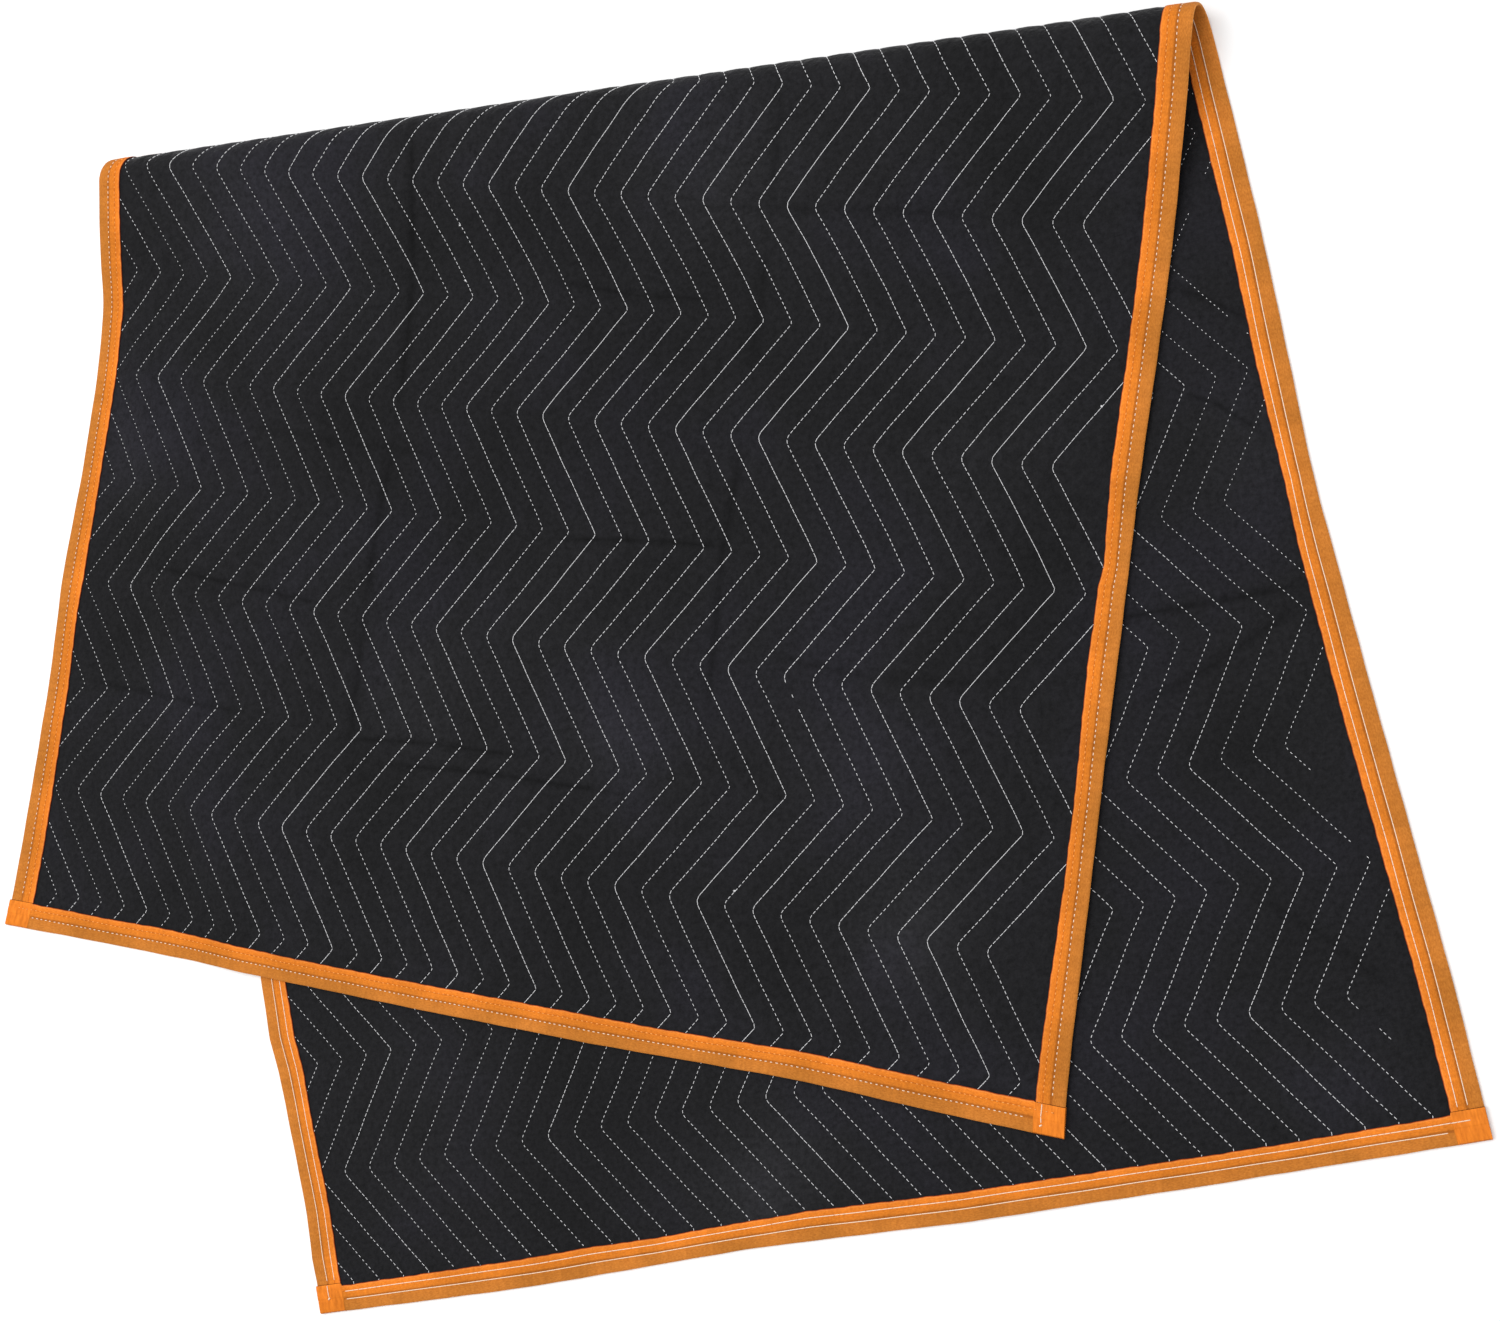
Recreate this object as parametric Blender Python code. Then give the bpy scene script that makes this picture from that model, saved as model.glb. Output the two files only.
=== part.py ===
"""A quilted moving pad with bound edges, folded once and lying flat.

The pad is made flat, in its own plan: x runs across it from the left long edge, y along
it from the lower end, and h is the height off its middle surface. Then lay_pad() folds
that plan over a slanting line and lays it on the surface z = 0, so that every piece
follows the same folds. Metres, +Z up.
"""

import bmesh
import bpy
import numpy as np

# Driving dimensions of the flat pad
PAD_WIDTH = 1.016
PAD_LENGTH = 1.829
PUFF_THICKNESS = 0.0044
SEAM_THICKNESS = 0.0020

# Zigzag quilting: the first line's mean place, and the first row of bends, which point left
LINE_SPACING = 0.0252
LINE_COUNT = 39
FIRST_LINE = 0.0063
FIRST_BEND = 0.122
BEND_SPACING = 0.0982
ZIGZAG_SWING = 0.0678

# Binding tape, folded over the edge in a U
TAPE_WIDTH = 0.025
TAPE_THICKNESS = 0.0009
TAPE_CLEARANCE = 0.0003
TAPE_ROUNDING = 0.0007
CORNER_DOUBLING = 0.0006
CORNER_STEP = 0.0008
CLOTH_TO_SPINE = 0.0006
PINCH_MARGIN = 0.0015
TWIST_SPACING = 0.024
TWIST_STEPS = 5

# The fold crosses the long edges at these distances from the lower end
FOLD_AT_LEFT = 1.093
FOLD_AT_RIGHT = 0.911
LAYER_GAP = 0.002

# The roll of the fold at the left and the right edge of the pad: its radius, how steeply
# the upper layer runs down from it, in radians, and the radius where that levels out
ROLL_RADIUS = (0.0180, 0.0208)
ROLL_SLOPE = (0.27, 0.215)
LEVELLING_RADIUS = (0.150, 0.250)
ROLL_STEPS = 6
LEVELLING_STEPS = 1

# Where the upper layer passes the lower one's left edge it comes down to the surface
DROP_START = -0.012
DROP_END = -0.075

# A soft hump in the upper layer: its middle, across and along the pad, radius and height
HUMP_ACROSS = 0.55
HUMP_ALONG = 1.36
HUMP_RADIUS = 0.34
HUMP_HEIGHT = 0.006

# How far the long edges lie inside the straight outline, by row of bends
#            row  left    right
LONG_EDGES = (
    (-2, 0.000, 0.001),
    (0, 0.002, 0.004),
    (2, -0.003, 0.012),
    (4, 0.002, 0.019),
    (6, 0.005, 0.015),
    (8, 0.006, 0.017),
    (9, 0.005, 0.014),
    (11, 0.001, 0.013),
    (12, 0.005, 0.014),
    (13, 0.003, 0.012),
    (14, -0.003, 0.011),
    (15, -0.001, 0.009),
    (16, -0.004, 0.007),
    (17, -0.008, 0.005),
    (18, -0.017, -0.003),
)

# The same for the two ends, across the pad
#           across  lower   upper
END_EDGES = (
    (0.00, 0.003, -0.003),
    (0.10, 0.001, -0.001),
    (0.20, -0.001, -0.001),
    (0.42, 0.003, -0.002),
    (0.60, -0.002, -0.001),
    (0.79, -0.002, 0.004),
    (0.90, -0.001, 0.001),
    (1.016, 0.000, 0.000),
)
EDGE_HOLD = 0.030
EDGE_REACH = 0.150

# Linear colours of the materials
BLACK_CLOTH = (0.016, 0.016, 0.018, 1.0)
ORANGE_TAPE = (0.82, 0.23, 0.018, 1.0)

# Lengths worked out from the driving dimensions
HALF_SEAM = SEAM_THICKNESS / 2
SLOT_HALF = HALF_SEAM + TAPE_CLEARANCE
TAPE_HALF = SLOT_HALF + TAPE_THICKNESS
LOWER_MIDDLE = max(PUFF_THICKNESS / 2, TAPE_HALF)
LAYER_STEP = 2 * LOWER_MIDDLE + LAYER_GAP
CLOTH_INSET = TAPE_THICKNESS + CLOTH_TO_SPINE
PINCH_INSET = TAPE_WIDTH + PINCH_MARGIN
FOLD_START = np.array([0.0, FOLD_AT_LEFT])
FOLD_SPAN = np.array([PAD_WIDTH, FOLD_AT_RIGHT - FOLD_AT_LEFT])
FOLD_LENGTH = np.linalg.norm(FOLD_SPAN)
ALONG_FOLD = FOLD_SPAN / FOLD_LENGTH
OVER_FOLD = np.array([-ALONG_FOLD[1], ALONG_FOLD[0]])
BEND_ROWS = range(-2, 19)


def bend_y(row):
    return FIRST_BEND + row * BEND_SPACING


# The fold


def fold_section(radius, slope, levelling):
    """The fold seen from its end, as rows of distance along the cloth, place, height and
    the cosine and sine of the way it runs. The lower layer lies flat, rolls over, runs
    down and levels out. The distances are counted so that a plain fold line through 0
    leaves both layers in place."""
    fall = radius * (1 + np.cos(slope)) - LAYER_STEP - levelling * (1 - np.cos(slope))
    straight = fall / np.sin(slope)
    slack = (
        radius * (np.pi + slope - np.sin(slope))
        + straight * (1 - np.cos(slope))
        + levelling * (slope - np.sin(slope))
    )
    start = -slack / 2
    angles = np.linspace(0, np.pi + slope, ROLL_STEPS + 1)
    rolled = np.array([
        start + radius * angles,
        start + radius * np.sin(angles),
        LOWER_MIDDLE + radius * (1 - np.cos(angles)),
        np.cos(angles),
        np.sin(angles),
    ]).T
    left = np.linspace(slope, 0, LEVELLING_STEPS + 1)
    run = straight * np.cos(slope) + levelling * (np.sin(slope) - np.sin(left))
    fell = straight * np.sin(slope) + levelling * (np.cos(left) - np.cos(slope))
    levelled = np.array([
        rolled[-1, 0] + straight + levelling * (slope - left),
        rolled[-1, 1] - run,
        rolled[-1, 2] - fell,
        -np.cos(left),
        -np.sin(left),
    ]).T
    return np.concatenate([rolled, levelled])


LEFT_SECTION, RIGHT_SECTION = (
    fold_section(*sizes) for sizes in zip(ROLL_RADIUS, ROLL_SLOPE, LEVELLING_RADIUS)
)


def across_fold(point):
    """A plan point as its distance along the fold line, from the left edge, and past it."""
    offset = np.asarray(point) - FOLD_START
    return offset @ ALONG_FOLD, offset @ OVER_FOLD


def mirrored(point):
    """The plan point that lands on this one when the pad is folded over."""
    return np.asarray(point) - 2 * across_fold(point)[1] * OVER_FOLD


def upper_drop(x, y):
    """How far the upper layer has come down here, beside the lower one."""
    landing = mirrored((x, y))[0]
    return LAYER_STEP * np.clip((landing - DROP_START) / (DROP_END - DROP_START), 0, 1)


def hump(x, y):
    reach = np.hypot(x - HUMP_ACROSS, y - HUMP_ALONG) / HUMP_RADIUS
    return HUMP_HEIGHT * max(0.0, 1 - reach**2) ** 2


def edge_weight(distance):
    """1 at an edge, 0 well inside the pad."""
    return np.clip((EDGE_REACH - distance) / (EDGE_REACH - EDGE_HOLD), 0, 1)


def drawn_in(x, y):
    """How far the sewing has moved this point of the straight plan."""
    row, left, right = np.array(LONG_EDGES).T
    across, lower, upper = np.array(END_EDGES).T
    inwards_x = np.interp(y, bend_y(row), left) * edge_weight(x)
    inwards_x -= np.interp(y, bend_y(row), right) * edge_weight(PAD_WIDTH - x)
    inwards_y = np.interp(x, across, lower) * edge_weight(y)
    inwards_y -= np.interp(x, across, upper) * edge_weight(PAD_LENGTH - y)
    return np.array([inwards_x, inwards_y])


def lay_point(x, y, h):
    """Where the plan's point (x, y, h) lies on the folded pad."""
    t, past = across_fold((x, y))
    share = t / FOLD_LENGTH
    along, place, height, cosine, sine = (
        LEFT_SECTION * (1 - share) + RIGHT_SECTION * share
    ).T
    if past <= along[0]:
        n, z, turn = past, LOWER_MIDDLE, (1.0, 0.0)
    elif past >= along[-1]:
        n, z, turn = -past, LOWER_MIDDLE + LAYER_STEP, (-1.0, 0.0)
    else:
        n, z = (np.interp(past, along, row) for row in (place, height))
        turn = [np.interp(past, along, row) for row in (cosine, sine)]
    level = FOLD_START + t * ALONG_FOLD + n * OVER_FOLD
    if past > 0:
        landed = np.interp(past, (along[ROLL_STEPS], along[-1]), (0, 1))
        z += landed * (hump(x, y) - upper_drop(x, y))

    moved = drawn_in(x, y)
    sideways, onwards = moved @ ALONG_FOLD, moved @ OVER_FOLD
    level += sideways * ALONG_FOLD + (onwards * turn[0] - h * turn[1]) * OVER_FOLD
    return (level[0], level[1], z + onwards * turn[1] + h * turn[0])


# Cutting and laying the flat pieces


def cut(bm, point, direction, keep_side=0, only=None):
    """Cuts the flat mesh along a plan line, so that it can bend there. A keep_side of 1 or
    -1 also throws away what lies to the right or the left of the line's direction."""
    normal = (direction[1], -direction[0], 0)
    faces = [face for face in bm.faces if only is None or only(face)]
    edges = {edge for face in faces for edge in face.edges}
    points = {vert for face in faces for vert in face.verts}
    bmesh.ops.bisect_plane(
        bm,
        geom=[*points, *edges, *faces],
        dist=0.0002,
        plane_co=(point[0], point[1], 0),
        plane_no=normal,
        clear_outer=keep_side == -1,
        clear_inner=keep_side == 1,
    )


def cut_at_fold(bm):
    for left, right in zip(LEFT_SECTION[:, 0], RIGHT_SECTION[:, 0]):
        start = FOLD_START + left * OVER_FOLD
        end = FOLD_START + FOLD_SPAN + right * OVER_FOLD
        cut(bm, start, end - start)


def cut_at_drop(bm):
    """Lines in the upper layer along which it bends down beside the lower one."""

    def in_upper_layer(face):
        return across_fold(face.calc_center_median().xy)[1] > LEFT_SECTION[ROLL_STEPS, 0]

    for x in (DROP_START, DROP_END):
        start, end = mirrored((x, 0.0)), mirrored((x, 1.0))
        cut(bm, start, end - start, only=in_upper_layer)


def lay_pad(bm):
    for vert in bm.verts:
        vert.co = lay_point(*vert.co)


def add_object(name, bm, material, collection, parent):
    bmesh.ops.triangulate(bm, faces=bm.faces)
    bmesh.ops.recalc_face_normals(bm, faces=bm.faces)
    mesh = bpy.data.meshes.new(name)
    bm.to_mesh(mesh)
    bm.free()
    mesh.materials.append(material)
    mesh.shade_smooth()
    mesh.set_sharp_from_angle(angle=np.radians(40))
    obj = bpy.data.objects.new(name, mesh)
    obj.parent = parent
    collection.objects.link(obj)
    return obj


# The quilted panel


def quilt_columns():
    """The panel's columns, as (line number, half thickness), thin on each stitched line."""
    half_puff = PUFF_THICKNESS / 2
    before = [(number, half_puff) for number in (-2, -1.2, -0.5)]
    after = [(LINE_COUNT - 1 + step, half_puff) for step in (1.8, 3.75)]
    lines = []
    for number in range(LINE_COUNT):
        lines.append((number, HALF_SEAM))
        lines.append((number + 0.5, half_puff))
    return before + lines[:-1] + after


def quilted_panel():
    """One zigzag column for each stitched line and each puff, cut to the pad's outline."""
    bm = bmesh.new()
    columns = quilt_columns()
    across, along = len(columns) - 1, len(BEND_ROWS) - 1
    grid = bmesh.ops.create_grid(bm, x_segments=across, y_segments=along, size=0.5)
    for vert in grid["verts"]:
        number, half = columns[round((vert.co.x + 0.5) * across)]
        row = BEND_ROWS[round((vert.co.y + 0.5) * along)]
        swing = ZIGZAG_SWING / 2 * (1 if row % 2 else -1)
        x = FIRST_LINE + number * LINE_SPACING + swing
        vert.co = (x, bend_y(row), half)

    for inset, keep in ((CLOTH_INSET, 1), (PINCH_INSET, 0)):
        cut(bm, (inset, 0), (0, 1), keep)
        cut(bm, (PAD_WIDTH - inset, 0), (0, -1), keep)
        cut(bm, (0, inset), (-1, 0), keep)
        cut(bm, (0, PAD_LENGTH - inset), (1, 0), keep)
    cut_at_fold(bm)
    cut_at_drop(bm)
    for vert in bm.verts:
        inside = min(vert.co.x, PAD_WIDTH - vert.co.x, vert.co.y, PAD_LENGTH - vert.co.y)
        if inside < PINCH_INSET + 1e-5:
            vert.co.z = HALF_SEAM

    # The other face mirrors this one, and side walls join them
    made = bmesh.ops.extrude_face_region(bm, geom=bm.faces[:], use_keep_orig=True)
    for item in made["geom"]:
        if isinstance(item, bmesh.types.BMVert):
            item.co.z = -item.co.z
    return bm


# The binding tapes


def tape_section(proud_above, proud_below):
    """The U of a tape, as (distance in from the pad's edge, height off its middle)."""
    above = TAPE_HALF + proud_above
    below = TAPE_HALF + proud_below
    rounding = TAPE_ROUNDING
    return (
        (0, rounding - below),
        (rounding, -below),
        (TAPE_WIDTH, -below),
        (TAPE_WIDTH, -SLOT_HALF),
        (TAPE_THICKNESS, -SLOT_HALF),
        (TAPE_THICKNESS, SLOT_HALF),
        (TAPE_WIDTH, SLOT_HALF),
        (TAPE_WIDTH, above),
        (rounding, above),
        (0, above - rounding),
    )


def tape(stations, place):
    """A tape through its stations, each (distance along, proud above, proud below).
    place() turns a distance along and a distance in from the edge into a plan point."""
    bm = bmesh.new()
    loops = []
    for along, above, below in stations:
        section = tape_section(above, below)
        loops.append([bm.verts.new((*place(along, inwards), h)) for inwards, h in section])
    for near, far in zip(loops, loops[1:]):
        for i in range(len(near)):
            bm.faces.new((near[i - 1], near[i], far[i], far[i - 1]))
    bm.faces.new(loops[0])
    bm.faces.new(loops[-1])
    cut_at_fold(bm)
    cut_at_drop(bm)
    return bm


def side_tape(x_edge, inwards, fold_at):
    """A long edge's tape, from one end tape to the other, with closer stations where it
    twists as it runs down from the fold."""
    clear = TAPE_WIDTH + TAPE_CLEARANCE
    bends = [bend_y(row) for row in BEND_ROWS]
    twisting = [fold_at + step * TWIST_SPACING for step in range(1, TWIST_STEPS + 1)]
    rows = sorted(bends + twisting)
    stations = [(y, 0, 0) for y in rows if clear < y < PAD_LENGTH - clear]
    ends = (clear, 0, 0), (PAD_LENGTH - clear, 0, 0)
    stations = [ends[0], *stations, ends[1]]
    return tape(stations, lambda along, a: (x_edge + inwards * a, along))


def end_tape(y_edge, inwards, above, below):
    """A short edge's tape, the whole width of the pad, doubled where it turns in at the
    corners, on the faces that above and below give."""
    corner = TAPE_WIDTH
    block = [(0, above, below), (corner, above, below)]
    between = np.linspace(corner + CORNER_STEP, PAD_WIDTH - corner - CORNER_STEP, 17)
    stations = block + [(x, 0, 0) for x in between]
    stations += [(PAD_WIDTH - x, up, down) for x, up, down in reversed(block)]
    return tape(stations, lambda along, a: (along, y_edge + inwards * a))


# Materials and the whole pad


def principled(name, colour, roughness):
    material = bpy.data.materials.new(name)
    material.use_nodes = True
    shader = material.node_tree.nodes["Principled BSDF"]
    shader.inputs["Base Color"].default_value = colour
    shader.inputs["Roughness"].default_value = roughness
    shader.inputs["Metallic"].default_value = 0.0
    return material


def centre_on_origin(objects):
    """Moves the pieces so that the middle of their box, at its bottom, is the origin."""
    points = np.array([vert.co for obj in objects for vert in obj.data.vertices])
    middle = (points.min(axis=0) + points.max(axis=0)) / 2
    print(f"The plan's corner goes to {-middle[0]:.4f}, {-middle[1]:.4f}")
    for obj in objects:
        for vert in obj.data.vertices:
            vert.co.x -= middle[0]
            vert.co.y -= middle[1]


def main():
    for obj in list(bpy.data.objects):
        bpy.data.objects.remove(obj, do_unlink=True)
    collection = bpy.data.collections.new("moving_pad")
    bpy.context.scene.collection.children.link(collection)
    pad = bpy.data.objects.new("moving_pad", None)
    collection.objects.link(pad)

    cloth = principled("black_cloth", BLACK_CLOTH, 0.85)
    binding = principled("orange_tape", ORANGE_TAPE, 0.75)
    pieces = (
        ("quilted_panel", quilted_panel(), cloth),
        ("side_binding_left", side_tape(0, 1, FOLD_AT_LEFT), binding),
        ("side_binding_right", side_tape(PAD_WIDTH, -1, FOLD_AT_RIGHT), binding),
        ("end_binding_lower", end_tape(0, 1, CORNER_DOUBLING, 0), binding),
        ("end_binding_upper", end_tape(PAD_LENGTH, -1, 0, CORNER_DOUBLING), binding),
    )
    objects = []
    for name, bm, material in pieces:
        lay_pad(bm)
        objects.append(add_object(name, bm, material, collection, pad))
    centre_on_origin(objects)


main()
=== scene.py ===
# %% [markdown]
# # A quilted moving pad, folded once
#
# A moving pad guards furniture in a van. It is two faces of thin black cloth with padding
# between them, quilted through in zigzag lines and bound all round in orange tape. This
# one lies on the floor, folded over once at a slant, and the camera looks down on it. The
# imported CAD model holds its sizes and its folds. This script lays finer cloth, tape and
# thread in the same places, and lights them.

import bmesh
import bpy
import numpy as np
from mathutils import Matrix


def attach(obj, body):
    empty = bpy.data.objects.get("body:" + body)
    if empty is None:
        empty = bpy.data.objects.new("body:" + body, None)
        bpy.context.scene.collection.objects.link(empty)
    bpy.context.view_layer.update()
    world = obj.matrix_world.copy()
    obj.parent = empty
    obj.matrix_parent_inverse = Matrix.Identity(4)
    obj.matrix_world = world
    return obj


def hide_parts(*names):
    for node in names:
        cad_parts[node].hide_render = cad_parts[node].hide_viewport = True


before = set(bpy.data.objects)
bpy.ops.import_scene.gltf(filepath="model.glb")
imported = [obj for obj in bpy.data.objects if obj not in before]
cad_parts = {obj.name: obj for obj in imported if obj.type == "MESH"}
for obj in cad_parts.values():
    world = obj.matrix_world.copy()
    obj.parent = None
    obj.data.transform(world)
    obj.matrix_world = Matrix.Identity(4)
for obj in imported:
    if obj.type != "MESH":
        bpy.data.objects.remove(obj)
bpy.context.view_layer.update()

# %% [markdown]
# ## The pad as it was cut
#
# Folded cloth is easiest to make flat. Every piece below is drawn in the pad's own plan,
# where x runs across it from the left long edge, y runs along it from the lower end, and h
# is the height off the middle of the cloth. One function then folds the plan, so cloth,
# tape and thread always agree. Modelling the fold by hand, piece by piece, would leave
# gaps wherever two of them met. Face B, with h above 0, is up on the lower layer. After
# the fold it is face A, with h below 0, that we see.

# %% Sizes of the flat pad, in metres
MM = 0.001
PAD_WIDTH = 1.016
PAD_LENGTH = 1.829
HALF_PUFF = 0.0022
HALF_SEAM = 0.0010
TAPE_WIDTH = 0.025
TAPE_HALF = 0.0022
PLAN_CORNER = np.array([-0.3733, -0.5401])
FACE_A, FACE_B = -1, 1
print(f"Cut size {PAD_WIDTH} by {PAD_LENGTH} m, bound with {TAPE_WIDTH} m of tape a side")

# %% [markdown]
# ## Where the fold runs
#
# The fold crosses the pad at a slant, from 1.093 m up its left edge to 0.911 m up its
# right one. A point's distance along that line and its distance past it are all that the
# fold needs to know, and both are a dot product with a unit vector.

# %% The fold line
FOLD_START = np.array([0.0, 1.093])
FOLD_SPAN = np.array([PAD_WIDTH, 0.911 - 1.093])
FOLD_LENGTH = np.linalg.norm(FOLD_SPAN)
ALONG_FOLD = FOLD_SPAN / FOLD_LENGTH
OVER_FOLD = np.array([-ALONG_FOLD[1], ALONG_FOLD[0]])


def across_fold(x, y):
    """How far plan points lie along the fold line, and past it."""
    return (
        x * ALONG_FOLD[0] + (y - FOLD_START[1]) * ALONG_FOLD[1],
        x * OVER_FOLD[0] + (y - FOLD_START[1]) * OVER_FOLD[1],
    )


print(f"The fold is {FOLD_LENGTH:.3f} m long")

# %% [markdown]
# ## How sewing draws the cloth in
#
# A quilted pad is never a true rectangle. The rows of stitches shorten it, so the long
# edges run in between the corners, and the corners flare. The tables give how far each
# edge lies inside the straight outline. Reading a table at five places close together and
# taking the mean rounds its corners off, which is all the smoothing that an edge needs.

# %% The uneven edges
FIRST_BEND = 0.122
BEND_SPACING = 0.0982
#   bend row, and how far in the left and the right edge lie, in mm
LONG_EDGES = np.array([
    (-2, 0, 1), (0, 2, 4), (2, -3, 12), (4, 2, 19), (6, 5, 15), (8, 6, 17), (9, 5, 14), (11, 1, 13),
    (12, 5, 14), (13, 3, 12), (14, -3, 11), (15, -1, 9), (16, -4, 7), (17, -8, 5), (18, -17, -3),
]).T
#   across, and how far in the lower and the upper end lie, in mm
END_EDGES = np.array([
    (0.0, 3, -3), (0.1, 1, -1), (0.2, -1, -1), (0.42, 3, -2), (0.6, -2, -1), (0.79, -2, 4),
    (0.9, -1, 1), (1.016, 0, 0),
]).T
EDGE_HOLD = 0.030
EDGE_REACH = 0.150
ROUNDED_OVER = 0.020


def read_softly(places, amounts, value):
    """A table's value in metres, from amounts in mm."""
    shifts = np.linspace(-ROUNDED_OVER, ROUNDED_OVER, 5)
    return MM * np.mean([np.interp(value + shift, places, amounts) for shift in shifts], axis=0)


def edge_pull(distance):
    """1 at an edge, 0 well inside the pad."""
    return np.clip((EDGE_REACH - distance) / (EDGE_REACH - EDGE_HOLD), 0, 1)


def drawn_in(x, y):
    """How far the sewing has moved points of the straight plan, across and along."""
    bends = FIRST_BEND + LONG_EDGES[0] * BEND_SPACING
    across = read_softly(bends, LONG_EDGES[1], y) * edge_pull(x)
    across -= read_softly(bends, LONG_EDGES[2], y) * edge_pull(PAD_WIDTH - x)
    along = read_softly(END_EDGES[0], END_EDGES[1], x) * edge_pull(y)
    along -= read_softly(END_EDGES[0], END_EDGES[2], x) * edge_pull(PAD_LENGTH - y)
    return across, along


print("The right edge is drawn in by up to", LONG_EDGES[2].max(), "mm")

# %% [markdown]
# ## How the upper layer lies
#
# Thick cloth doesn't fold flat. It rolls over in a soft bend 40 mm high, runs down from it
# and levels out on the lower layer. Where it reaches past the lower layer's left edge, it
# comes down to the floor. It also stands up in a low hump where it isn't pressed. Each of
# these is a small sum of its own, eased in and out so that no line shows.

# %% The roll, the drop and the hump
ROLL_RADIUS = (0.0180, 0.0208)
ROLL_SLOPE = (0.27, 0.215)
LEVELLING_RADIUS = (0.150, 0.250)
ROLL_WANDER = 0.030
LOWER_MIDDLE = TAPE_HALF
LAYER_STEP = 2 * LOWER_MIDDLE + 0.002
DROP_START, DROP_END = -0.012, -0.075
#   across, along, radius, height: the last two are on the lower layer
SWELLS = (
    (0.55, 1.36, 0.34, 0.0060), (0.16, 1.27, 0.15, 0.0018), (0.83, 1.62, 0.16, 0.0022),
    (0.30, 1.66, 0.13, 0.0015), (0.62, 0.06, 0.11, 0.0015), (0.93, 0.38, 0.08, 0.0012),
)


def eased(share):
    share = np.clip(share, 0, 1)
    return share * share * (3 - 2 * share)


def ripple(place, wavelength, turn=0.0):
    """A soft uneven wave between -1 and 1, the same on every run."""
    angle = 2 * np.pi * place / wavelength + turn
    return (np.sin(angle) + np.sin(1.618 * angle + turn) + np.sin(0.41 * angle)) / 3


def swelling(x, y):
    """How far the cloth stands up off what it lies on."""
    height = 0
    for across, along, radius, top in SWELLS:
        reach = ((x - across) ** 2 + (y - along) ** 2) / radius**2
        height = height + top * np.clip(1 - reach, 0, 1) ** 2
    return height


def drop(x, past):
    """How far the upper layer has come down beside the lower one."""
    landing = x - 2 * past * OVER_FOLD[0]
    return LAYER_STEP * eased((landing - DROP_START) / (DROP_END - DROP_START))


print("The layers lie", round(LAYER_STEP, 4), "m apart, middle to middle")

# %% [markdown]
# ## Folding the plan
#
# `lay()` walks from the lower layer over the roll, down the slope and out along the upper
# layer, and keeps the direction that the cloth runs in. Height off the cloth is then a
# step at right angles to that direction. It takes whole arrays, so that folding a third of
# a million points of thread takes a second and not a minute.

# %% The folding function


def lay(x, y, h):
    """Where plan points lie on the folded pad, as rows of X, Y and Z."""
    t, past = across_fold(x, y)
    share = t / FOLD_LENGTH
    radius, slope, levelling = (
        left + (right - left) * share
        for left, right in (ROLL_RADIUS, ROLL_SLOPE, LEVELLING_RADIUS)
    )
    radius = radius * (1 + ROLL_WANDER * ripple(share, 0.27))
    fall = radius * (1 + np.cos(slope)) - LAYER_STEP - levelling * (1 - np.cos(slope))
    straight = fall / np.sin(slope)
    slack = radius * (np.pi + slope - np.sin(slope)) + straight * (1 - np.cos(slope))
    slack = slack + levelling * (slope - np.sin(slope))

    gone = past + slack / 2
    rolled = radius * (np.pi + slope)
    angle = np.clip(gone / radius, 0, np.pi + slope)
    run = np.clip(gone - rolled, 0, straight)
    left = slope - np.clip(gone - rolled - straight, 0, levelling * slope) / levelling
    beyond = np.maximum(gone - rolled - straight - levelling * slope, 0)
    heading = np.where(gone < rolled, angle, np.pi + left)

    n = np.minimum(gone, 0) - slack / 2 + radius * np.sin(angle) - run * np.cos(slope)
    n = n - levelling * (np.sin(slope) - np.sin(left)) - beyond
    z = LOWER_MIDDLE + radius * (1 - np.cos(angle)) - run * np.sin(slope)
    z = z - levelling * (np.cos(left) - np.cos(slope))
    landed = eased((gone - rolled) / (straight + levelling * slope))
    z = z + landed * (swelling(x, y) - drop(x, past)) + (gone < 0) * swelling(x, y)

    across, along = drawn_in(x, y)
    sideways = across * ALONG_FOLD[0] + along * ALONG_FOLD[1]
    onwards = across * OVER_FOLD[0] + along * OVER_FOLD[1]
    t = t + sideways
    n = n + onwards * np.cos(heading) - h * np.sin(heading)
    z = np.maximum(z + onwards * np.sin(heading), LOWER_MIDDLE) + h * np.cos(heading)
    level = FOLD_START + np.outer(t, ALONG_FOLD) + np.outer(n, OVER_FOLD) + PLAN_CORNER
    return np.column_stack([level, z])


corners = lay(np.array([0, 0, PAD_WIDTH, PAD_WIDTH]), np.array([0, PAD_LENGTH] * 2), 0.0)
print("The four corners lie at", corners.round(3).tolist())

# %% [markdown]
# ## The zigzag of the quilting
#
# A row of needles sews all the lines at once while the cloth moves under it, so the lines
# are one zigzag, repeated every 25 mm. Each bend is slightly rounded, more where it points
# left. The distance from a bend is a V. A parabola that meets the V's sides rounds it.
# The cloth also crept a few millimetres under the needles, more at its sides, and the
# table says how far. The lines were sewn before the edges were drawn in, so they stay
# evenly spaced, and `line_place()` undoes the drawing in for them.

# %% The zigzag
FIRST_LINE = 0.0063
LINE_SPACING = 0.0252
LINE_COUNT = 39
ZIGZAG_SWING = 0.0678
ROUNDED_LEFT, ROUNDED_RIGHT = 0.0050, 0.0022
SEWING_WOBBLE = 0.0005


def swing(y):
    """How far the zigzag stands to the right of its middle, along the pad."""
    phase = (y - FIRST_BEND) / BEND_SPACING
    bend = np.round(phase)
    side = np.where(bend % 2 == 0, -1, 1)
    rounded = np.where(side < 0, ROUNDED_LEFT, ROUNDED_RIGHT)
    away = np.abs(phase - bend) * BEND_SPACING
    soft = (away**2 + rounded**2) / (2 * rounded)
    away = np.where(away < rounded, soft, away)
    slant = ZIGZAG_SWING / BEND_SPACING
    return side * (ZIGZAG_SWING / 2 - away * slant) + SEWING_WOBBLE * ripple(y, 0.11)


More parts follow.
